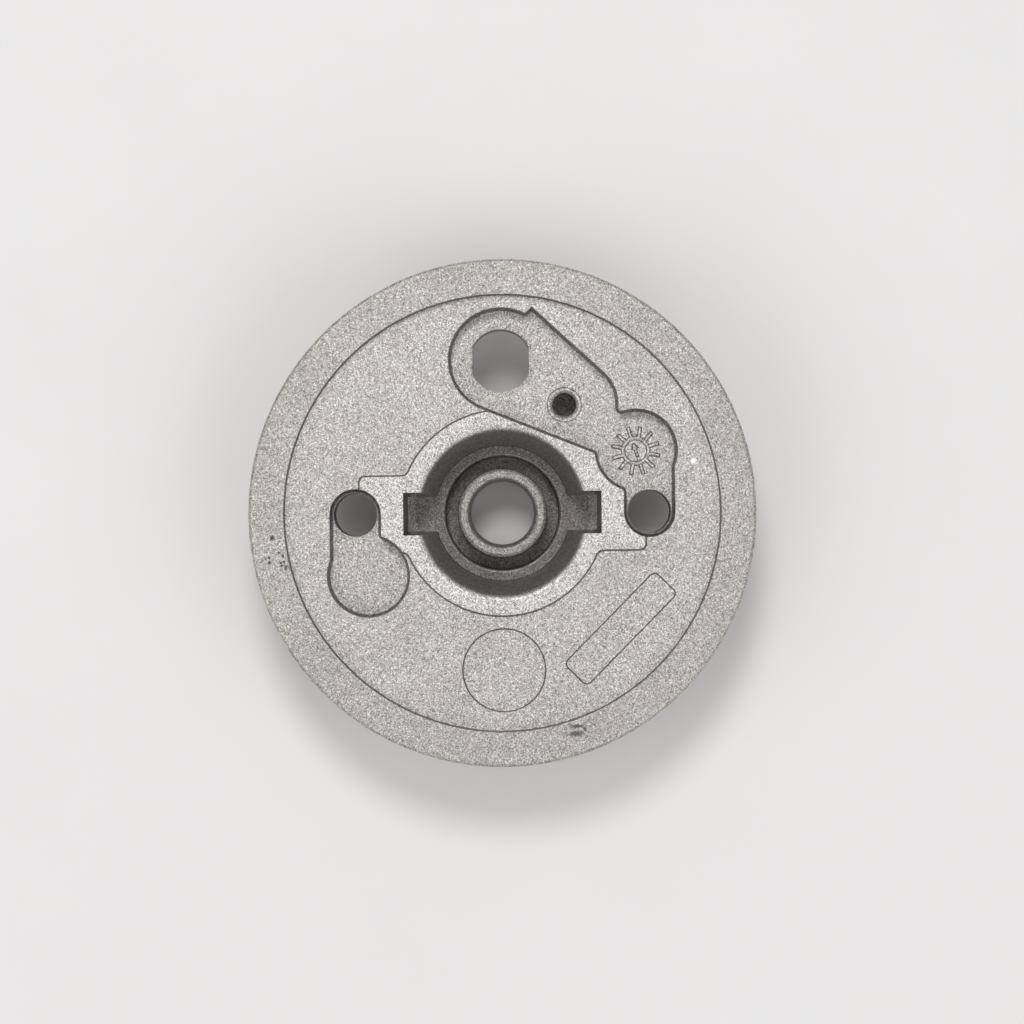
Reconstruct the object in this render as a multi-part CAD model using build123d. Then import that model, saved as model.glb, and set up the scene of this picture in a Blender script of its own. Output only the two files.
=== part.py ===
from build123d import *

import os
from math import asin, atan2, cos, pi, radians, sin, tan

# Gas burner base: one aluminium die casting, a round disc with a hub on its burner side.
# It lies with its mounting side up and stands on the end of its hub.
# The origin is the middle of the hub's end face, +Z leaves the mounting side,
# the screws lie along X and +Y runs to the electrode hole. Millimetres and degrees.

# Disc
overall_height = 15.0
disc_diameter = 62.0
rim_face_width = 4.25
rim_thickness = 3.0
rim_edge_chamfer = 0.3
rim_back_chamfer = 0.3
web_recess = 0.9
web_thickness = 5.0
web_step_draft = 12.0
skirt_width = 5.0
skirt_rounding = 3.0

# Hub on the burner side
hub_diameter = 27.0
hub_draft = 4.0
hub_root_rounding = 1.6
hub_end_chamfer = 0.6

# Raised land round the cup, with an arm to each screw hole
land_diameter = 25.4
land_rise = 0.4
land_draft = 28.0
land_root = 1.0
land_arm_reach = 17.6
land_arm_width = 9.6
land_corner_radius = 0.9
land_inner_radius = 1.1

# Cup that takes the jet holder, with a ledge and a groove round the mixing tube
cup_mouth_diameter = 20.4
cup_lip_rounding = 0.7
cup_depth = 8.6
ledge_diameter = 16.6
ledge_chamfer = 0.2
groove_diameter = 14.1
groove_depth = 3.0
groove_draft = 2.0
tube_diameter = 10.8
tube_setback = 5.9
tube_draft = 1.0
tube_chamfer = 0.3
bore_mouth_diameter = 8.4
bore_mouth_chamfer = 0.2
bore_entry_depth = 2.5
bore_diameter = 7.8
bore_outlet_chamfer = 0.8

# Two slots in the cup wall that key the jet holder
slot_width = 5.2
slot_reach = 12.1
slot_draft = 3.0

# Two screw holes, each with a boss behind it, in the end of a keyhole pocket that runs into a round pad
screw_spacing = 36.0
screw_hole_diameter = 5.3
screw_boss_diameter = 11.0
screw_boss_height = 7.0
neck_width = 6.3
pad_diameter = 10.2
pad_inset = 1.55
pad_offset = 7.5
pocket_depth = 2.4
pocket_draft = 3.0
pocket_corner_radius = 0.4
pocket_chamfer = 0.25

# Electrode hole with two flats, and the pocket for the electrode's clip
electrode_radius = 18.7
electrode_hole_diameter = 7.6
electrode_hole_flats = 6.8
electrode_lobe_diameter = 12.9
electrode_collar_wall = 1.6
electrode_collar_height = 4.0
clip_angle = -42.8
clip_edge_offset = 7.4
clip_end_offset = 1.6
clip_corner_radius = 5.0
clip_side_inset = 2.1
clip_pad_angle = 184.0

# Blind pilot hole for the clip's screw, with a closed boss behind it
pilot_distance = 9.5
pilot_angle = -35.5
pilot_diameter = 2.9
pilot_depth = 7.5
pilot_lip = 0.3
pilot_ring_diameter = 4.2
pilot_ring_depth = 0.1
pilot_boss_wall = 1.6
pilot_boss_end = 1.6

# Draft and chamfer of the collar and the bosses
boss_draft = 2.0
boss_end_chamfer = 0.4

# Two bare shallow panels on the web
round_panel_diameter = 10.3
round_panel_radius = 19.2
long_panel_length = 16.0
long_panel_width = 4.1
long_panel_corner = 0.8
long_panel_radius = 20.2
long_panel_angle = -45.0
panel_depth = 0.3
panel_draft = 30.0

# Heights that follow from the sizes above, and how far a cutter stands clear of the part
rim_z = overall_height
web_z = rim_z - web_recess
seat_z = web_z - web_thickness
land_z = web_z + land_rise
pocket_z = web_z - pocket_depth
ledge_z = land_z - cup_depth
groove_z = ledge_z - groove_depth
tube_z = land_z - tube_setback
pilot_z = pocket_z - pilot_depth
cutter_overrun = 1.0
on_base = (Align.CENTER, Align.CENTER, Align.MIN)


def heading(angle):
    return Vector(cos(radians(angle)), sin(radians(angle)))


# Centres that follow from the sizes above
screw_centre = Vector(screw_spacing / 2, 0)
pad_centre = screw_centre + Vector(-pad_inset, pad_offset)
electrode_centre = Vector(0, electrode_radius)
pilot_centre = electrode_centre + heading(pilot_angle) * pilot_distance


def lean(draft, height):
    """How far a drafted wall leans over a height."""
    return height * tan(radians(draft))


def sharp(radius, height):
    return Vector(radius, 0, height), 0, 0


def rounded(radius, height, rounding):
    return Vector(radius, 0, height), rounding, 0


def chamfered(radius, height, chamfer):
    return Vector(radius, 0, height), 0, chamfer


def turned(corners):
    """Solid of revolution about Z from a profile of sharp, rounded and chamfered corners."""
    points = []
    roundings = []
    for index, (corner, rounding, chamfer) in enumerate(corners):
        ends = [corner]
        if chamfer:
            sides = corners[index - 1][0], corners[(index + 1) % len(corners)][0]
            ends = [corner + (side - corner).normalized() * chamfer for side in sides]
        points += ends
        roundings += [rounding] * len(ends)
    return revolve(make_face(FilletPolyline(*points, radius=roundings, close=True)), Axis.Z)


def upright(centre, diameter, bottom, top):
    """Cylinder on a centre, between two heights."""
    return Pos(centre.X, centre.Y, bottom) * Cylinder(diameter / 2, top - bottom, align=on_base)


def boss(centre, diameter, end_z):
    """Drafted post on the burner side, rooted in the disc."""
    end_radius = diameter / 2
    root_radius = end_radius + lean(boss_draft, pocket_z - end_z)
    return Pos(centre) * turned([
        sharp(0, end_z),
        chamfered(end_radius, end_z, boss_end_chamfer),
        sharp(root_radius, pocket_z),
        sharp(0, pocket_z),
    ])


def side_edges(solid):
    """Edges that climb from one level to another."""
    return solid.edges().filter_by(lambda edge: abs(edge.tangent_at(0.5).Z) > 0.5)


def inner_corners(outline):
    """Corners where the outline takes up more than half of a small circle round them."""
    probe = Circle(pocket_corner_radius / 4)
    return [
        corner for corner in outline.vertices()
        if (outline & Pos(Vector(corner)) * probe).area > 0.55 * probe.area
    ]


def pocket(outline):
    """Cutter for a drafted pocket with a chamfered floor edge, open above the rim."""
    outline = fillet(inner_corners(outline), pocket_corner_radius)
    walls = extrude(Pos(0, 0, land_z) * outline, pocket_z + pocket_chamfer - land_z, taper=pocket_draft)
    bottom = walls.faces().sort_by(Axis.Z)[0]
    walls += extrude(bottom, pocket_chamfer, taper=45)
    return walls + extrude(Pos(0, 0, land_z) * outline, rim_z - land_z + cutter_overrun)


def opposite(shape):
    """The twin of a feature, half a turn round the burner axis."""
    return Rot(0, 0, 180) * shape


def disc_with_hub():
    disc_radius = disc_diameter / 2
    step_radius = disc_radius - rim_face_width
    hub_radius = hub_diameter / 2
    return turned([
        sharp(0, 0),
        chamfered(hub_radius - lean(hub_draft, seat_z), 0, hub_end_chamfer),
        rounded(hub_radius, seat_z, hub_root_rounding),
        rounded(disc_radius - skirt_width, seat_z, skirt_rounding),
        chamfered(disc_radius, rim_z - rim_thickness, rim_back_chamfer),
        chamfered(disc_radius, rim_z, rim_edge_chamfer),
        sharp(step_radius, rim_z),
        sharp(step_radius - lean(web_step_draft, web_recess), web_z),
        sharp(0, web_z),
    ])


def land():
    """Raised face round the cup; beside the clip's pocket it reaches to the pocket's wall."""
    root_z = web_z - land_root
    height = land_root + land_rise
    root_lean = lean(land_draft, land_root)
    root_radius = land_diameter / 2 + root_lean
    arms = Rectangle(2 * (land_arm_reach + root_lean), land_arm_width + 2 * root_lean)
    arms = fillet(side_edges(extrude(arms, height, taper=land_draft)), land_corner_radius)
    raised = arms + Cone(root_radius, root_radius - lean(land_draft, height), height, align=on_base)
    joints = side_edges(raised).sort_by_distance((0, 0, 0))[:4]
    raised = fillet(joints, land_inner_radius)
    beside_pocket = make_face(Polyline((0, 0), pilot_centre, pad_centre, screw_centre, close=True))
    return Pos(0, 0, root_z) * (raised + extrude(beside_pocket, height))


def cup_and_bore():
    """Cutter for the cup, its ledge and groove, and the mixing tube's bore with its tapered entry."""
    lip_radius = cup_mouth_diameter / 2 + 2 * cup_lip_rounding
    groove_floor = groove_diameter / 2 - lean(groove_draft, groove_depth)
    tube_root = tube_diameter / 2 + lean(tube_draft, tube_z - groove_z)
    outlet_radius = bore_diameter / 2 + 2 * bore_outlet_chamfer
    return turned([
        sharp(0, land_z + cutter_overrun),
        sharp(lip_radius, land_z + cutter_overrun),
        sharp(lip_radius, land_z),
        rounded(cup_mouth_diameter / 2, land_z, cup_lip_rounding),
        sharp(ledge_diameter / 2, ledge_z),
        chamfered(groove_diameter / 2, ledge_z, ledge_chamfer),
        sharp(groove_floor, groove_z),
        sharp(tube_root, groove_z),
        chamfered(tube_diameter / 2, tube_z, tube_chamfer),
        chamfered(bore_mouth_diameter / 2, tube_z, bore_mouth_chamfer),
        sharp(bore_diameter / 2, tube_z - bore_entry_depth),
        chamfered(bore_diameter / 2, 0, bore_outlet_chamfer),
        sharp(outlet_radius, 0),
        sharp(outlet_radius, -cutter_overrun),
        sharp(0, -cutter_overrun),
    ])


def cup_slot():
    start = (tube_diameter + groove_diameter) / 4
    outline = Pos((start + slot_reach) / 2, 0) * Rectangle(slot_reach - start, slot_width)
    return extrude(Pos(0, 0, land_z) * outline, ledge_z - land_z, taper=slot_draft)


def keyhole_outline():
    neck = Pos(screw_centre) * Pos(0, pad_offset / 2) * Rectangle(neck_width, pad_offset)
    neck_end = Pos(screw_centre) * Circle(neck_width / 2)
    pad = Pos(pad_centre) * Circle(pad_diameter / 2)
    return neck + neck_end + pad


def clip_outline():
    """Plate from the electrode hole to the pad: a square tip, a round shoulder and a tangent edge."""
    along = heading(clip_angle)
    across = heading(clip_angle + 90)
    lobe_radius = electrode_lobe_diameter / 2
    end_foot = electrode_centre - along * clip_end_offset
    tip = end_foot + across * clip_edge_offset
    side_x = pad_centre.X - clip_side_inset
    shoulder = tip + along * ((side_x - tip.X) / along.X)
    side_foot = Vector(side_x, pad_centre.Y)
    pad_corner = pad_centre + heading(clip_pad_angle) * (pad_diameter / 2)
    to_lobe = electrode_centre - pad_corner
    tangent_angle = atan2(to_lobe.Y, to_lobe.X) + asin(lobe_radius / to_lobe.length) + pi / 2
    tangent_foot = electrode_centre + Vector(cos(tangent_angle), sin(tangent_angle)) * lobe_radius
    corners = [end_foot, tip, shoulder, side_foot, pad_corner, tangent_foot]
    roundings = [0, 0, clip_corner_radius, 0, 0, 0]
    plate = make_face(FilletPolyline(*corners, radius=roundings, close=True))
    return plate + Pos(electrode_centre) * Circle(lobe_radius)


def electrode_hole():
    """Round hole with two flats, right through the collar."""
    between_flats = Rectangle(electrode_hole_flats, electrode_hole_diameter)
    outline = Circle(electrode_hole_diameter / 2) & between_flats
    return extrude(Pos(electrode_centre) * outline, rim_z)


def electrode_collar():
    diameter = electrode_hole_diameter + 2 * electrode_collar_wall
    return boss(electrode_centre, diameter, seat_z - electrode_collar_height)


def pilot_boss():
    diameter = pilot_diameter + 2 * pilot_boss_wall
    return boss(pilot_centre, diameter, pilot_z - pilot_boss_end)


def pilot_hole():
    """Blind hole with a chamfered lip inside a faint round recess."""
    ring_z = pocket_z - pilot_ring_depth
    lip_radius = pilot_diameter / 2 + pilot_lip
    hole = upright(pilot_centre, pilot_diameter, pilot_z, rim_z)
    ring = upright(pilot_centre, pilot_ring_diameter, ring_z, rim_z)
    lip = Cone(pilot_diameter / 2, lip_radius, pilot_lip, align=on_base)
    return hole + ring + Pos(pilot_centre.X, pilot_centre.Y, ring_z - pilot_lip) * lip


def screw_boss():
    return boss(screw_centre, screw_boss_diameter, seat_z - screw_boss_height)


def screw_hole():
    return upright(screw_centre, screw_hole_diameter, 0, rim_z)


def panels():
    round_panel = Pos(0, -round_panel_radius) * Circle(round_panel_diameter / 2)
    long_panel = RectangleRounded(long_panel_width, long_panel_length, long_panel_corner)
    long_panel = Rot(0, 0, long_panel_angle) * Pos(long_panel_radius, 0) * long_panel
    return extrude(Pos(0, 0, web_z) * (round_panel + long_panel), -panel_depth, taper=panel_draft)


def burner_base():
    casting = disc_with_hub() + land() + electrode_collar() + pilot_boss()
    casting += screw_boss()
    casting += opposite(screw_boss())
    casting -= cup_and_bore()
    casting -= pocket(keyhole_outline() + clip_outline())
    casting -= opposite(pocket(keyhole_outline()))
    for cutter in (cup_slot(), screw_hole()):
        casting -= cutter
        casting -= opposite(cutter)
    casting -= electrode_hole()
    casting -= pilot_hole()
    casting -= panels()
    return casting


os.makedirs("parts", exist_ok=True)
base = burner_base()
export_step(base, "parts/burner_base.step")
print("burner_base", round(base.volume / 1000, 2), "cm3", base.bounding_box().size)
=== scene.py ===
# %% [markdown]
# # Gas burner base
#
# This lesson dresses one aluminium die casting, the base of a small gas burner. The solid comes
# from CAD and already has the true shape, so Blender adds what CAD leaves out: the blasted skin of
# the metal, a few marks of use, the small raised dial that the die leaves in one pocket, a pale
# floor and soft light.

# %% Load the casting
from math import cos, radians, sin

import bpy
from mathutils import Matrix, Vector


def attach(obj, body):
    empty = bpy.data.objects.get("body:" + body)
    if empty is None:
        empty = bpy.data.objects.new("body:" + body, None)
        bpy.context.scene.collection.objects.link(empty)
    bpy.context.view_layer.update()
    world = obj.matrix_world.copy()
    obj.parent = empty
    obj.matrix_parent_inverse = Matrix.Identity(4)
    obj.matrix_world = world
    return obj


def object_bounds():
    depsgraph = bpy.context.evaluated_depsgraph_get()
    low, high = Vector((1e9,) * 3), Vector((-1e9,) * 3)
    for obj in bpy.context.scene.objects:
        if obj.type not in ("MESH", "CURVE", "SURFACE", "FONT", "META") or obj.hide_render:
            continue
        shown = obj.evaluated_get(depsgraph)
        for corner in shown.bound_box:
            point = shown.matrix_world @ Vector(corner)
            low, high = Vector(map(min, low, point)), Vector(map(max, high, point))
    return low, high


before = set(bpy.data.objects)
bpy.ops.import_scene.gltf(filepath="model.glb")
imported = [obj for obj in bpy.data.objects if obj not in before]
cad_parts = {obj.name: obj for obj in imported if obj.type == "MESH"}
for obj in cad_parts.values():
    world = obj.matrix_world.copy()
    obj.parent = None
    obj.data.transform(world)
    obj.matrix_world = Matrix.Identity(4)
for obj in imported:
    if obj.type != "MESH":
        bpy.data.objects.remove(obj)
cad_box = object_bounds()
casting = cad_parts["burner_base"]
mm = 0.001
print("casting:", len(casting.data.polygons), "faces, box", cad_box)

# %% [markdown]
# ## View
#
# The photograph looks straight down on the mounting side from well above it, a little off the
# middle and turned by less than a degree. A short lens close by would look into the cup's walls on
# every side. A long lens at 0.7 m keeps them almost edge-on, as they are there. The lens follows
# from the width that the frame covers.

# %% Camera
image_pixels = 1024
pixels_per_mm = 8.2
frame_width = image_pixels / pixels_per_mm * mm
camera_distance = 700 * mm
camera_turn = radians(-0.7)
aim_x, aim_y = 1.172 * mm, 0.12 * mm
rim_height = cad_box[1][2]

camera_data = bpy.data.cameras.new("camera")
camera_data.sensor_width = 36
camera_data.lens = camera_data.sensor_width * camera_distance / frame_width
camera = bpy.data.objects.new("camera", camera_data)
camera.location = (aim_x, aim_y, rim_height + camera_distance)
camera.rotation_euler = (0, 0, camera_turn)
bpy.context.scene.collection.objects.link(camera)
bpy.context.scene.camera = camera
bpy.context.scene.view_settings.view_transform = "Standard"
print("camera: lens", round(camera_data.lens, 1), "mm")

# %% [markdown]
# ## Floor
#
# The part lies on a pale floor. A curved backdrop would hide the horizon, but from above there is
# none, so one plane is enough, wide enough for views from the side. Its paint is matt and faintly
# uneven, because one perfectly even colour looks unreal beside grainy metal.


# %% Helpers for materials
def add_node(tree, kind, **settings):
    """Add a node and set its plain properties."""
    node = tree.nodes.new(kind)
    for name, value in settings.items():
        setattr(node, name, value)
    return node


def link(tree, source, target):
    tree.links.new(source, target)


def new_material(name):
    """Make a material, and give its node tree and its main shader too."""
    material = bpy.data.materials.new(name)
    material.use_nodes = True
    return material, material.node_tree, material.node_tree.nodes["Principled BSDF"]


print("helpers: nodes, links and materials")

# %% Floor plane
floor_width = 4

bpy.ops.object.select_all(action="DESELECT")
bpy.ops.mesh.primitive_plane_add(size=floor_width, location=(0, 0, 0))
floor = bpy.context.object
floor.name = "floor"
print("floor:", floor_width, "m wide, at height", floor.location.z)

# %% Floor paint
floor_dark = (0.84, 0.825, 0.815, 1)
floor_light = (0.88, 0.865, 0.855, 1)
mottles_per_metre = 40

floor_paint, floor_tree, floor_shader = new_material("pale_floor")
coordinates = add_node(floor_tree, "ShaderNodeTexCoord")
mottle = add_node(floor_tree, "ShaderNodeTexNoise")
mottle.inputs["Scale"].default_value = mottles_per_metre
mottle.inputs["Detail"].default_value = 4
paint_tone = add_node(floor_tree, "ShaderNodeValToRGB")
paint_tone.color_ramp.elements[0].color = floor_dark
paint_tone.color_ramp.elements[1].color = floor_light
link(floor_tree, coordinates.outputs["Object"], mottle.inputs["Vector"])
link(floor_tree, mottle.outputs["Fac"], paint_tone.inputs["Fac"])
link(floor_tree, paint_tone.outputs["Color"], floor_shader.inputs["Base Color"])
floor_shader.inputs["Roughness"].default_value = 0.9
floor_shader.inputs["Specular IOR Level"].default_value = 0.2
floor.data.materials.append(floor_paint)
print("paint:", floor_paint.name, "with", len(floor_tree.nodes), "nodes")

# %% [markdown]
# ## Light
#
# Three soft panels stand about half-way up the sky, one behind the part and one at each side in
# front. A single panel overhead would light the bottom of the cup as much as the rim. Slanted
# panels leave it dim, so flat faces are bright and depths turn dark by themselves. An even grey
# surround lifts the shadows.

# %% Helper for panels
panel_distance = 1.0


def add_panel(name, azimuth, elevation, size, watts):
    """Hang a round soft panel in the sky, facing the part."""
    data = bpy.data.lights.new(name, "AREA")
    data.shape = "DISK"
    data.size = size
    data.energy = watts
    lamp = bpy.data.objects.new(name, data)
    reach = panel_distance * cos(radians(elevation))
    lamp.location = (
        reach * cos(radians(azimuth)),
        reach * sin(radians(azimuth)),
        panel_distance * sin(radians(elevation)),
    )
    lamp.rotation_euler = (radians(90 - elevation), 0, radians(azimuth + 90))
    bpy.context.scene.collection.objects.link(lamp)
    return lamp


print("helper: panels,", panel_distance, "m from the part")

# %% Panels and surround
surround_colour = (0.97, 0.98, 1.0, 1)
surround_strength = 0.42

panels = [
    add_panel("panel_behind", azimuth=97, elevation=62, size=0.3, watts=3.25),
    add_panel("panel_left", azimuth=207, elevation=46, size=0.9, watts=2.2),
    add_panel("panel_right", azimuth=322, elevation=46, size=0.9, watts=2.2),
]
surround = bpy.data.worlds.new("surround")
surround.use_nodes = True
sky = surround.node_tree.nodes["Background"]
sky.inputs["Color"].default_value = surround_colour
sky.inputs["Strength"].default_value = surround_strength
bpy.context.scene.world = surround
print("light:", [lamp.name for lamp in panels], "and an even surround")

# %% [markdown]
# ## Blasted skin
#
# After casting, the part is blasted with fine shot, which leaves a matt skin of tiny dents about
# 0.1 mm across that sparkle where one faces the light. The grain could be displaced geometry, but
# that would take millions of faces, so it is a node group with a height for bump and a tone for
# colour; the sparkle is painted into that tone as a glint on a few facets. It reads Object
# coordinates, turned into millimetres, so its scale is easy to read.


# %% Helper for node groups
def new_group(name, inputs, outputs):
    """Start a node group with named inputs and outputs that are plain values."""
    group = bpy.data.node_groups.new(name, "ShaderNodeTree")
    for label, kind, value in inputs:
        socket = group.interface.new_socket(label, in_out="INPUT", socket_type=kind)
        socket.default_value = value
    for label in outputs:
        group.interface.new_socket(label, in_out="OUTPUT", socket_type="NodeSocketFloat")
    return group, group.nodes.new("NodeGroupInput"), group.nodes.new("NodeGroupOutput")


print("helper: node groups")


# %% Helpers for sums
def feed(tree, sockets, values):
    """Set each socket to a plain value, or link it to another node's output."""
    for socket, value in zip(sockets, values):
        if isinstance(value, (int, float, tuple)):
            socket.default_value = value
        elif value is not None:
            link(tree, value, socket)


def value_math(tree, operation, first, second=None):
    node = add_node(tree, "ShaderNodeMath", operation=operation)
    feed(tree, node.inputs, (first, second))
    return node.outputs[0]


def vector_math(tree, operation, first, second=None):
    node = add_node(tree, "ShaderNodeVectorMath", operation=operation)
    feed(tree, node.inputs, (first, second))
    return node.outputs["Value" if operation in ("LENGTH", "DOT_PRODUCT") else "Vector"]


print("helpers: sums of values and of vectors")


# %% Helpers for patterns
def millimetres(tree):
    """The place on the part, in millimetres from the part's origin."""
    coordinates = add_node(tree, "ShaderNodeTexCoord")
    return vector_math(tree, "MULTIPLY", coordinates.outputs["Object"], (1 / mm, 1 / mm, 1 / mm))


def noise(tree, vector, scale, detail):
    node = add_node(tree, "ShaderNodeTexNoise")
    names = ("Vector", "Scale", "Detail")
    feed(tree, [node.inputs[name] for name in names], (vector, scale, detail))
    return node.outputs["Fac"]


def spread(tree, value, start, end, to_start=0.0, to_end=1.0):
    """Stretch the range from start to end over another range, and cut off what lies beyond."""
    node = add_node(tree, "ShaderNodeMapRange")
    names = ("Value", "From Min", "From Max", "To Min", "To Max")
    feed(tree, [node.inputs[name] for name in names], (value, start, end, to_start, to_end))
    return node.outputs["Result"]


print("helpers: place, noise and spread")

# %% Group: blasted grain
dents_per_mm = 11.0
waves_per_mm = 2.0
facets_per_mm = 10.0

grain_and_glint_group, _, grain_out = new_group("blasted_grain_and_glint", [], ["Height", "Tone"])
place = millimetres(grain_and_glint_group)
dents = noise(grain_and_glint_group, place, dents_per_mm, detail=1.0)
waves = noise(grain_and_glint_group, place, waves_per_mm, detail=2.0)
facets = add_node(grain_and_glint_group, "ShaderNodeTexVoronoi")
facets.inputs["Scale"].default_value = facets_per_mm
link(grain_and_glint_group, place, facets.inputs["Vector"])
chance = add_node(grain_and_glint_group, "ShaderNodeSeparateColor")
link(grain_and_glint_group, facets.outputs["Color"], chance.inputs["Color"])
print("grain:", dents_per_mm, "dents and", facets_per_mm, "facets to the millimetre")

# %% Tone of the grain
# Every facet has its own tone, and a few of them get a painted glint: their colour is made
# brighter, in place of the light that the dents would catch.
dent_tone = spread(grain_and_glint_group, dents, start=0.25, end=0.75)
wave_tone = spread(grain_and_glint_group, waves, start=0.3, end=0.7, to_start=-0.1, to_end=0.1)
facet_tone = spread(
    grain_and_glint_group, chance.outputs["Green"], start=0.0, end=1.0, to_start=-0.4, to_end=0.4
)
painted_glint = spread(grain_and_glint_group, chance.outputs["Red"], start=0.85, end=1.0, to_start=0.0, to_end=1.2)
tone = dent_tone
for part in (wave_tone, facet_tone, painted_glint):
    tone = value_math(grain_and_glint_group, "ADD", tone, part)
link(grain_and_glint_group, dents, grain_out.inputs["Height"])
link(grain_and_glint_group, tone, grain_out.inputs["Tone"])
print("group:", grain_and_glint_group.name, "with", len(grain_and_glint_group.nodes), "nodes")

# %% [markdown]
# ## Masks for zones and marks
#
# The tone isn't the same all over the casting: some of it is finish, some is painted light and
# shade, and use leaves small marks on it. Such places could be painted on an unwrapped picture, but
# the casting is round, so a zone between two radii and two heights picks out its faces exactly, at
# any size of picture. A mark is a round spot with a ragged edge. Both groups give a mask from 0 to
# 1, and the material decides what it does.

# %% Group: ring zone
zone_inputs = [(name, "NodeSocketFloat", 0.0) for name in ("Inner", "Outer", "Low", "High")]
zone_inputs.append(("Soft", "NodeSocketFloat", 0.1))
zone_group, zone_in, zone_out = new_group("ring_zone", zone_inputs, ["Mask"])
place = millimetres(zone_group)
radius = vector_math(zone_group, "LENGTH", vector_math(zone_group, "MULTIPLY", place, (1, 1, 0)))
split = add_node(zone_group, "ShaderNodeSeparateXYZ")
link(zone_group, place, split.inputs[0])
level = split.outputs["Z"]
mask = 1.0
for high, low in (
    (radius, zone_in.outputs["Inner"]),
    (zone_in.outputs["Outer"], radius),
    (level, zone_in.outputs["Low"]),
    (zone_in.outputs["High"], level),
):
    inside = value_math(zone_group, "SUBTRACT", high, low)
    inside = value_math(zone_group, "DIVIDE", inside, zone_in.outputs["Soft"])
    inside = spread(zone_group, inside, start=0.0, end=1.0)
    mask = value_math(zone_group, "MULTIPLY", mask, inside)
link(zone_group, mask, zone_out.inputs["Mask"])
print("group:", zone_group.name, "with", len(zone_group.nodes), "nodes")

# %% Group: ragged spot
grit_per_mm = 5.0
spot_inputs = [
    ("Centre", "NodeSocketVector", (0, 0, 0)),
    ("Size", "NodeSocketVector", (1, 1, 1)),
    ("Grit", "NodeSocketFloat", 1.0),
]
spot_group, spot_in, spot_out = new_group("ragged_spot", spot_inputs, ["Mask"])
place = millimetres(spot_group)
offset = vector_math(spot_group, "SUBTRACT", place, spot_in.outputs["Centre"])
offset = vector_math(spot_group, "DIVIDE", offset, spot_in.outputs["Size"])
reach = vector_math(spot_group, "LENGTH", offset)
ragged = noise(spot_group, place, grit_per_mm, detail=2.0)
ragged = value_math(spot_group, "SUBTRACT", ragged, 0.5)
ragged = value_math(spot_group, "MULTIPLY", ragged, spot_in.outputs["Grit"])
reach = value_math(spot_group, "ADD", reach, ragged)
link(spot_group, spread(spot_group, reach, start=1.2, end=0.5), spot_out.inputs["Mask"])
print("group:", spot_group.name, "with", len(spot_group.nodes), "nodes")

# %% [markdown]
# ## Cast aluminium
#
# The bare metal is a warm light grey. Each zone could have a material of its own, but then the
# borders would follow the triangles of the mesh. One material with masks is smooth everywhere. A
# single tone value gathers the grain, a broad soft mottling and all the zones, and scales the
# colour at the end.

# %% Material: cast aluminium
mottles_per_mm = 0.16

metal, tree, shader = new_material("cast_aluminium")
place = millimetres(tree)


def place_group(group, **values):
    """Put a node group into the metal, with its own values."""
    node = add_node(tree, "ShaderNodeGroup", node_tree=group)
    for name, value in values.items():
        node.inputs[name].default_value = value
    return node.outputs


grain = place_group(grain_and_glint_group)
mottling = noise(tree, place, mottles_per_mm, detail=3.0)
mottling = spread(tree, mottling, start=0.3, end=0.7, to_start=0.95, to_end=1.05)
tone = spread(tree, grain["Tone"], start=-0.2, end=1.3, to_start=0.07, to_end=1.93)
tone = value_math(tree, "MULTIPLY", tone, mottling)
print("grain and mottling:", len(tree.nodes), "nodes")

# %% [markdown]
# ## Zones of the casting
#
# The raised land round the cup is made the brightest face, and the rim a little darker than the
# web. The cup's floors, the end of the tube and the holes are darkened as painted shade of their
# depth, and the sharp edges of the tube and of the ledge round it get a painted highlight. A factor
# for each zone says how much lighter or darker than the web it is.


# %% Helpers for masks
def ring_mask(inner=-1, outer=40, low=-1, high=20, soft=0.1):
    """Zone between two radii and two heights. A limit that isn't given lies clear of the part."""
    limits = {"Inner": inner, "Outer": outer, "Low": low, "High": high, "Soft": soft}
    return place_group(zone_group, **limits)["Mask"]


def spot_mask(centre, size, grit):
    return place_group(spot_group, Centre=centre, Size=size, Grit=grit)["Mask"]


def hole_mask(x, y, width, level=6, reach=8):
    """Clean spot that is drawn out downwards, so that it takes in a hole's wall."""
    return spot_mask((x, y, level), (width, width, reach), grit=0.0)


print("helpers: masks for rings, spots and holes")


# %% Helpers for tones
def mix_value(factor, first, second):
    node = add_node(tree, "ShaderNodeMix", data_type="FLOAT")
    feed(tree, (node.inputs[0], node.inputs[2], node.inputs[3]), (factor, first, second))
    return node.outputs[0]


def scale_tone(tone, mask, factor):
    """Multiply the tone by a factor, but only where the mask is."""
    return value_math(tree, "MULTIPLY", tone, mix_value(mask, 1.0, factor))


print("helpers: tones")

# %% Faces on top and round the tube
web_level, land_level = 14.1, 14.5
tube_level, ledge_level = 8.6, 5.9
tube_low, tube_high = tube_level - 0.4, tube_level + 0.2
cup_low, cup_high = 2.0, ledge_level + 0.7

tube_end = ring_mask(inner=3.9, outer=5.6, low=tube_low, high=tube_high)
# Painted highlight on the edges of the tube and the ledge; painted shade on the tube's end and on
# the floors of the cup and its slots.
faces = {
    "land": (ring_mask(outer=19, low=land_level - 0.3, high=land_level + 0.3), 1.18),
    "rim": (ring_mask(inner=26.55, low=web_level + 0.5, soft=0.2), 0.90),
    "tube_end": (tube_end, 0.70),
    "tube_edge": (ring_mask(inner=5.1, outer=5.6, low=tube_low, high=tube_high), 1.6),
    "cup_floor": (ring_mask(inner=5.3, outer=8.8, low=cup_low, high=cup_high, soft=0.3), 0.6),
    "slot_floors": (ring_mask(inner=8.5, outer=12.6, low=cup_low, high=cup_high, soft=0.3), 0.74),
    "ledge_edge": (
        ring_mask(inner=6.9, outer=7.35, low=ledge_level - 0.4, high=ledge_level + 0.1), 1.8
    ),
}
for mask, factor in faces.values():
    tone = scale_tone(tone, mask, factor)
print("faces:", list(faces))

# %% Walls of the holes
screw_x, electrode_y = 18, 18.7
pilot_x, pilot_y = 7.734, 13.183

# Each hole is darkened down its wall and over the floor seen through it: painted shade.
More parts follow.
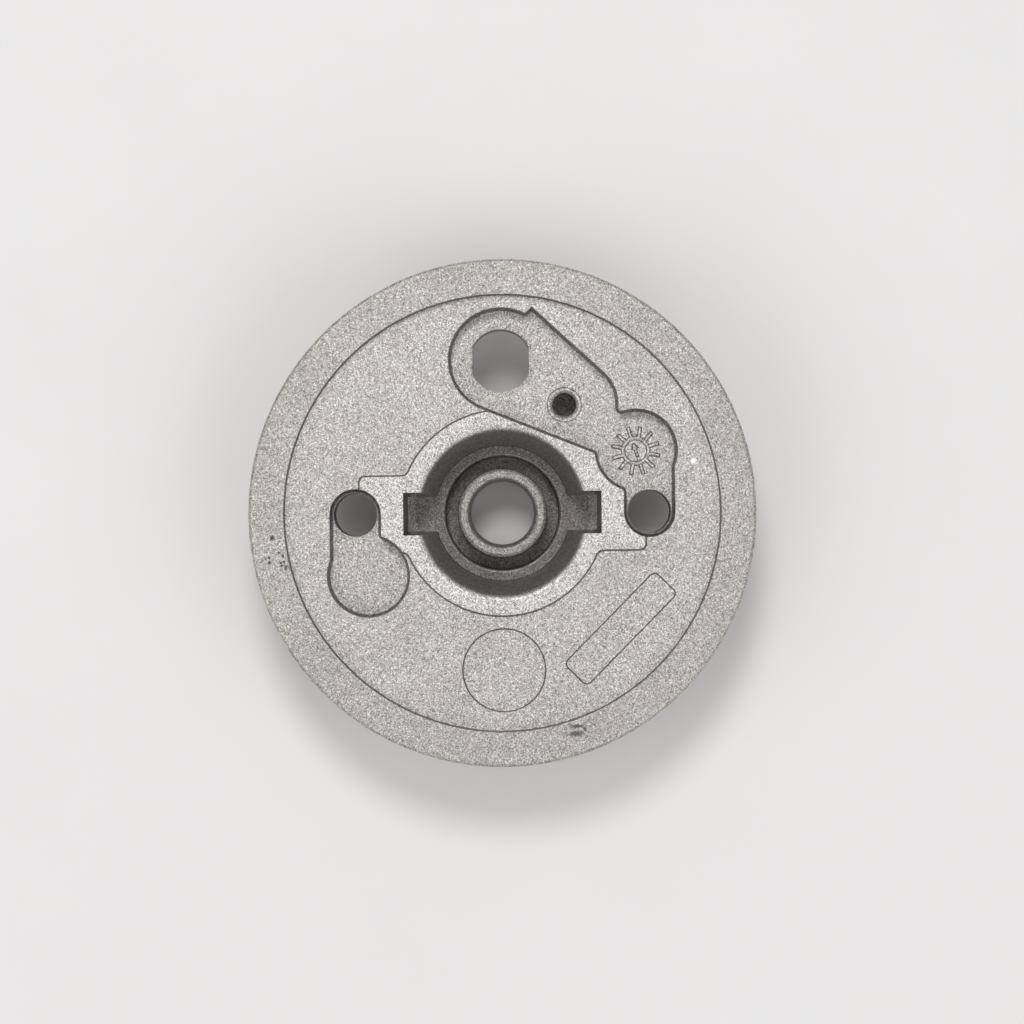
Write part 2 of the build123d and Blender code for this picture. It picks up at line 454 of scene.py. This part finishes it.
holes = {
    "bore": (ring_mask(outer=4.5, high=tube_level - 0.2, soft=0.2), 0.5),
    "left_screw_hole": (hole_mask(-screw_x, 0, width=3.6), 0.3),
    "right_screw_hole": (hole_mask(screw_x, 0, width=3.6), 0.3),
    "electrode_hole": (hole_mask(0, electrode_y, width=5.0), 0.4),
    "pilot_hole": (hole_mask(pilot_x, pilot_y, width=1.7, level=7.5, reach=4.2), 0.3),
}
for mask, factor in holes.values():
    tone = scale_tone(tone, mask, factor)
print("holes:", list(holes))

# %% [markdown]
# ## Edges and walls
#
# Edges get a painted highlight, a little brighter, and edges at the level of the pocket floors,
# such as the foot of a pocket's wall and the mouths of the holes, get a painted shade line. A bevel
# on the mesh would change the solid, so a Bevel node finds them: where the normal that it rounds
# differs from the true one, there is an edge. The rounded normal also softens every edge, as
# casting does. The steep walls of the pockets, steps and slots are darkened as painted shade: a
# mask from the height of the true normal picks out what is steep and darkens it.

# %% Edges
edge_radius = 0.2 * mm
pocket_level = 11.7
painted_edge_glint, painted_edge_shade = 1.15, 0.6

rounded = add_node(tree, "ShaderNodeBevel", samples=6)
rounded.inputs["Radius"].default_value = edge_radius
surface = add_node(tree, "ShaderNodeNewGeometry")
agree = vector_math(tree, "DOT_PRODUCT", rounded.outputs["Normal"], surface.outputs["Normal"])
edge = spread(tree, agree, start=0.985, end=0.85)
at_pocket_floor = ring_mask(low=pocket_level - 0.5, high=pocket_level + 0.15)
# Painted highlight on most edges, painted shade on the edges at the pocket floors.
tone = scale_tone(tone, edge, mix_value(at_pocket_floor, painted_edge_glint, painted_edge_shade))
print("edges: rounded by", edge_radius, "m")

# %% Walls
painted_wall_shade = 0.42
wall_low, wall_high = pocket_level - 0.1, 15.1
slot_wall_low = 6.2

true_normal = add_node(tree, "ShaderNodeTexCoord").outputs["Normal"]
facing = add_node(tree, "ShaderNodeSeparateXYZ")
link(tree, true_normal, facing.inputs[0])
steep = spread(tree, facing.outputs["Z"], start=0.97, end=0.7)

# Next to the cup, only the walls of the pockets count, and they face away from the axis.
from_axis = vector_math(tree, "MULTIPLY", place, (1, 1, 0))
outward = vector_math(tree, "DOT_PRODUCT", true_normal, from_axis)
outward = spread(tree, outward, start=0.0, end=2.0)
beside_cup = ring_mask(inner=9.5, outer=12.0, low=wall_low, high=wall_high)
beside_cup = value_math(tree, "MULTIPLY", beside_cup, outward)
pocket_walls = ring_mask(inner=10.95, outer=27.4, low=wall_low, high=wall_high)
slot_walls = ring_mask(inner=11.5, outer=12.7, low=slot_wall_low, high=wall_high)
walls = value_math(tree, "MAXIMUM", pocket_walls, beside_cup)
walls = value_math(tree, "MAXIMUM", walls, slot_walls)
# Steep walls are darkened: painted shade.
tone = scale_tone(tone, value_math(tree, "MULTIPLY", steep, walls), painted_wall_shade)
print("walls: darkened to", painted_wall_shade)

# %% [markdown]
# ## Line round the pilot hole
#
# A loose pin in the die leaves a hair-thin circle round the small blind hole. CAD has its shallow
# step, which is too fine to cast a shadow. A tube of geometry would stand too high, so the line is
# darkened by its distance from the hole's centre, as painted shade in place of the step's shadow.

# %% Pin line
pin_radius = 2.1
pin_line_inner, pin_line_outer = 0.04, 0.11
pin_line_shade = 0.72

from_pilot = vector_math(tree, "SUBTRACT", place, (pilot_x, pilot_y, 0))
from_pilot = vector_math(tree, "LENGTH", vector_math(tree, "MULTIPLY", from_pilot, (1, 1, 0)))
off_line = value_math(tree, "ABSOLUTE", value_math(tree, "SUBTRACT", from_pilot, pin_radius))
pin_line = spread(tree, off_line, start=pin_line_outer, end=pin_line_inner)
pin_line = value_math(tree, "MULTIPLY", at_pocket_floor, pin_line)
tone = scale_tone(tone, pin_line, pin_line_shade)
print("pin line: radius", pin_radius, "mm")

# %% [markdown]
# ## Colour of the metal and of the cup
#
# The tone now scales the grey of the aluminium. The cup is darkened once more down to its floor, so
# its colour is multiplied there: partly a warmer, darker cast skin, partly painted shade of the
# deep cup. The tube's end stands in the middle of the cup but is blasted like the faces on top, so
# it is taken out of that mask.

# %% Metal and cup
aluminium = (0.52, 0.502, 0.478)
cup_skin_and_shade = (0.675, 0.668, 0.662, 1)


def mix_colour(factor, first, second, blend="MIX"):
    node = add_node(tree, "ShaderNodeMix", data_type="RGBA", blend_type=blend)
    feed(tree, (node.inputs[0], node.inputs[6], node.inputs[7]), (factor, first, second))
    return node.outputs[2]


colour = vector_math(tree, "MULTIPLY", tone, aluminium)
cup = ring_mask(inner=4.9, outer=11.0, low=1, high=13.9, soft=0.4)
cup = value_math(tree, "SUBTRACT", cup, tube_end)
colour = mix_colour(cup, colour, mix_colour(1.0, colour, cup_skin_and_shade, "MULTIPLY"))
print("metal and cup:", len(tree.nodes), "nodes")

# %% [markdown]
# ## Marks of use
#
# A casting that has been handled has dark pits where its skin broke open, a smudge where something
# rubbed along the rim, and a light chip in the web. They could be cut into the mesh, but they are
# hardly deeper than the grain, so each is a ragged spot of colour. The places are given one by
# one, because real marks keep to no pattern.

# %% Pits: place and size of each
rim_level = rim_height / mm
pit_colour, pit_cover = (0.08, 0.076, 0.072, 1), 0.95
pits = [
    (-28.1, -2.7, 0.34), (-28.5, -5.1, 0.2), (-28.5, -5.7, 0.22), (-27.3, -4.5, 0.2),
    (-26.86, -4.84, 0.16), (-26.77, -5.07, 0.16), (-27.1, -5.73, 0.18), (-26.72, -5.62, 0.18),
    (-27.0, -6.1, 0.22), (-26.48, -6.17, 0.2), (-26.5, -6.5, 0.18),
]
for x, y, size in pits:
    mask = spot_mask((x, y, rim_level), (size, size, 1), grit=1.2)
    mask = value_math(tree, "MULTIPLY", mask, pit_cover)
    colour = mix_colour(mask, colour, pit_colour)
print("pits:", len(pits))

# %% Smudge: place, length and width of each bar
smudge_colour, smudge_cover = (0.10, 0.096, 0.092, 1), 0.9
smudge = [
    (8.72, -26.10, 1.05, 0.26), (8.71, -27.01, 1.0, 0.36),
    (9.75, -26.5, 0.22, 0.3), (10.96, -25.94, 0.15, 0.15),
]
for x, y, length, width in smudge:
    mask = spot_mask((x, y, rim_level), (length, width, 1), grit=2.0)
    mask = value_math(tree, "MULTIPLY", mask, smudge_cover)
    colour = mix_colour(mask, colour, smudge_colour)
print("smudge:", len(smudge), "bars")

# %% Chip
chip_colour = (0.95, 0.94, 0.93, 1)
chip_centre, chip_size = (23.4, 6.1, web_level), (0.4, 0.4, 1)

chip = spot_mask(chip_centre, chip_size, grit=0.6)
colour = mix_colour(chip, colour, chip_colour)
link(tree, colour, shader.inputs["Base Color"])
print("chip at", chip_centre)

# %% [markdown]
# ## Gloss and relief
#
# The dents scatter the light, so the metal is matt, and the facets with a painted glint are a
# little smoother than the rest. The same grain that colours the skin gives it a bump of 0.03 mm,
# laid over the rounded normal, so that dents, glints and soft edges all agree.

# %% Gloss and relief
matt, satin = 0.62, 0.48
dent_depth = 0.03 * mm

roughness = spread(tree, grain["Tone"], start=0.0, end=1.2, to_start=matt, to_end=satin)
link(tree, roughness, shader.inputs["Roughness"])
shader.inputs["Metallic"].default_value = 0.85
bump = add_node(tree, "ShaderNodeBump")
bump.inputs["Strength"].default_value = 0.6
bump.inputs["Distance"].default_value = dent_depth
link(tree, grain["Height"], bump.inputs["Height"])
link(tree, rounded.outputs["Normal"], bump.inputs["Normal"])
link(tree, bump.outputs["Normal"], shader.inputs["Normal"])
casting.data.materials.clear()
casting.data.materials.append(metal)
print("material:", metal.name, "with", len(tree.nodes), "nodes")

# %% [markdown]
# ## Dial: ring
#
# The die has a small insert that leaves a raised dial on the floor of the right-hand pocket: a ring
# with twelve spokes and a pointer, about 0.2 mm proud. The ring could be a torus, but a cast ring
# has a flat top. So it starts as a flat disc, which is inset, opened in the middle and extruded. A
# chamfer slopes its walls, because a relief has to leave the die, and the slopes catch the light.

# %% Dial sizes
dial_x, dial_y = 16.42 * mm, 7.43 * mm
pocket_floor = pocket_level * mm
sunk = 0.03 * mm
proud = 0.20 * mm
ring_inner, ring_outer = 1.30 * mm, 1.80 * mm
ring_sides = 64
ring_chamfer = 0.15 * mm
print("dial at", dial_x, dial_y)


# %% Helpers for small cast pieces
def edit_mode(piece):
    bpy.ops.object.select_all(action="DESELECT")
    piece.select_set(True)
    bpy.context.view_layer.objects.active = piece
    bpy.ops.object.mode_set(mode="EDIT")
    bpy.ops.mesh.select_mode(type="FACE")


def apply_place(piece):
    """Put the piece's place, turn and scale into its mesh."""
    bpy.ops.object.mode_set(mode="OBJECT")
    bpy.ops.object.select_all(action="DESELECT")
    piece.select_set(True)
    bpy.context.view_layer.objects.active = piece
    bpy.ops.object.transform_apply(location=True, rotation=True, scale=True)


def soften(piece, width, segments=2, smooth_below=50):
    """Bevel the sharp edges and shade the rest smooth."""
    bevel = piece.modifiers.new("soft_edges", "BEVEL")
    bevel.width = width
    bevel.segments = segments
    bevel.limit_method = "ANGLE"
    bpy.context.view_layer.objects.active = piece
    bpy.ops.object.modifier_apply(modifier=bevel.name)
    bpy.ops.object.shade_smooth_by_angle(angle=radians(smooth_below))


def dress(piece, name):
    """Name a finished piece, give it the metal and fix it to the casting."""
    piece.name = name
    piece.data.name = name
    piece.data.materials.clear()
    piece.data.materials.append(metal)
    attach(piece, "root")


print("helpers: shaping, softening and dressing")

# %% Ring
bpy.ops.object.select_all(action="DESELECT")
bpy.ops.mesh.primitive_circle_add(
    vertices=ring_sides,
    radius=ring_outer,
    fill_type="NGON",
    location=(dial_x, dial_y, pocket_floor - sunk),
)
ring = bpy.context.object
edit_mode(ring)
bpy.ops.mesh.select_all(action="SELECT")
bpy.ops.mesh.inset(thickness=ring_outer - ring_inner)
bpy.ops.mesh.delete(type="FACE")
bpy.ops.mesh.select_all(action="SELECT")
bpy.ops.mesh.extrude_region_move(TRANSFORM_OT_translate={"value": (0, 0, sunk + proud)})
bpy.ops.mesh.select_all(action="SELECT")
bpy.ops.mesh.normals_make_consistent(inside=False)
apply_place(ring)
soften(ring, ring_chamfer, segments=1)
dress(ring, "dial_ring")
print("ring:", len(ring.data.polygons), "faces")

# %% [markdown]
# ## Dial: spokes
#
# Twelve short bars stand round the ring like the hours of a clock. Each could be modelled where it
# stands, but one is enough: a block whose top is scaled down, so that its sides slope, and whose
# edges are bevelled. It runs into the ring and stays slightly lower, so the ring's top is unbroken.
# Copies, each with its own mesh, are then turned to their places.

# %% One spoke
spoke_count = 12
spoke_start = 18
spoke_proud = 0.18 * mm
spoke_reach = 3.05 * mm
spoke_width = 0.56 * mm
spoke_length = spoke_reach - (ring_inner + ring_outer) / 2
spoke_top = (0.82, 0.46, 1)
spoke_bevel = 0.04 * mm


def select_facing(piece, axis, least=0.9):
    """Enter edit mode with only the faces selected that look along an axis."""
    bpy.ops.object.mode_set(mode="OBJECT")
    edit_mode(piece)
    bpy.ops.mesh.select_all(action="DESELECT")
    bpy.ops.object.mode_set(mode="OBJECT")
    for face in piece.data.polygons:
        face.select = getattr(face.normal, axis) > least
    bpy.ops.object.mode_set(mode="EDIT")


bpy.ops.object.select_all(action="DESELECT")
bpy.ops.mesh.primitive_cube_add(
    size=1,
    location=(spoke_reach - spoke_length / 2, 0, pocket_floor + (spoke_proud - sunk) / 2),
    scale=(spoke_length, spoke_width, spoke_proud + sunk),
)
spoke = bpy.context.object
apply_place(spoke)
select_facing(spoke, "z")
bpy.ops.transform.resize(value=spoke_top)
bpy.ops.object.mode_set(mode="OBJECT")
soften(spoke, spoke_bevel)
print("spoke:", len(spoke.data.polygons), "faces")

# %% Spokes round the ring
spokes = [spoke]
for index in range(1, spoke_count):
    twin = spoke.copy()
    twin.data = spoke.data.copy()
    bpy.context.scene.collection.objects.link(twin)
    spokes.append(twin)
for index, piece in enumerate(spokes):
    piece.rotation_euler = (0, 0, radians(spoke_start + 360 / spoke_count * index))
    piece.location = (dial_x, dial_y, 0)
    apply_place(piece)
    dress(piece, f"dial_spoke_{index + 1:02d}")
print("spokes:", len(spokes))

# %% [markdown]
# ## Dial: pointer
#
# An arrow in the middle of the ring points at one of the spokes. It could be cut from a flat sheet,
# but a block grows into it in a few steps: the end face of a stem is extruded a hair and widened
# for the barbs, then extruded again and drawn in to the tip. The top is scaled down like a spoke's,
# because upright walls would hardly show from above.

# %% Pointer: stem
stem_width = 0.46 * mm
stem_length = 1.1 * mm
stem_middle = -0.3 * mm

bpy.ops.object.select_all(action="DESELECT")
bpy.ops.mesh.primitive_cube_add(
    size=1,
    location=(0, stem_middle, pocket_floor + (proud - sunk) / 2),
    scale=(stem_width, stem_length, proud + sunk),
)
pointer = bpy.context.object
apply_place(pointer)
print("stem:", len(pointer.data.polygons), "faces")

# %% Pointer: head and finish
barb_step, barb_flare = 0.02 * mm, 2.5
head_length, tip_taper = 0.75 * mm, 0.2
pointer_top = (0.45, 0.76, 1)
pointer_bevel = 0.03 * mm
pointer_turn = 17

select_facing(pointer, "y")
bpy.ops.mesh.extrude_region_move(TRANSFORM_OT_translate={"value": (0, barb_step, 0)})
bpy.ops.transform.resize(value=(barb_flare, 1, 1))
bpy.ops.mesh.extrude_region_move(TRANSFORM_OT_translate={"value": (0, head_length, 0)})
bpy.ops.transform.resize(value=(tip_taper, 1, 1))
select_facing(pointer, "z")
bpy.ops.transform.resize(value=pointer_top)
bpy.ops.object.mode_set(mode="OBJECT")
soften(pointer, pointer_bevel)
pointer.rotation_euler = (0, 0, radians(pointer_turn))
pointer.location = (dial_x, dial_y, 0)
apply_place(pointer)
dress(pointer, "dial_pointer")
print("pointer:", len(pointer.data.polygons), "faces")
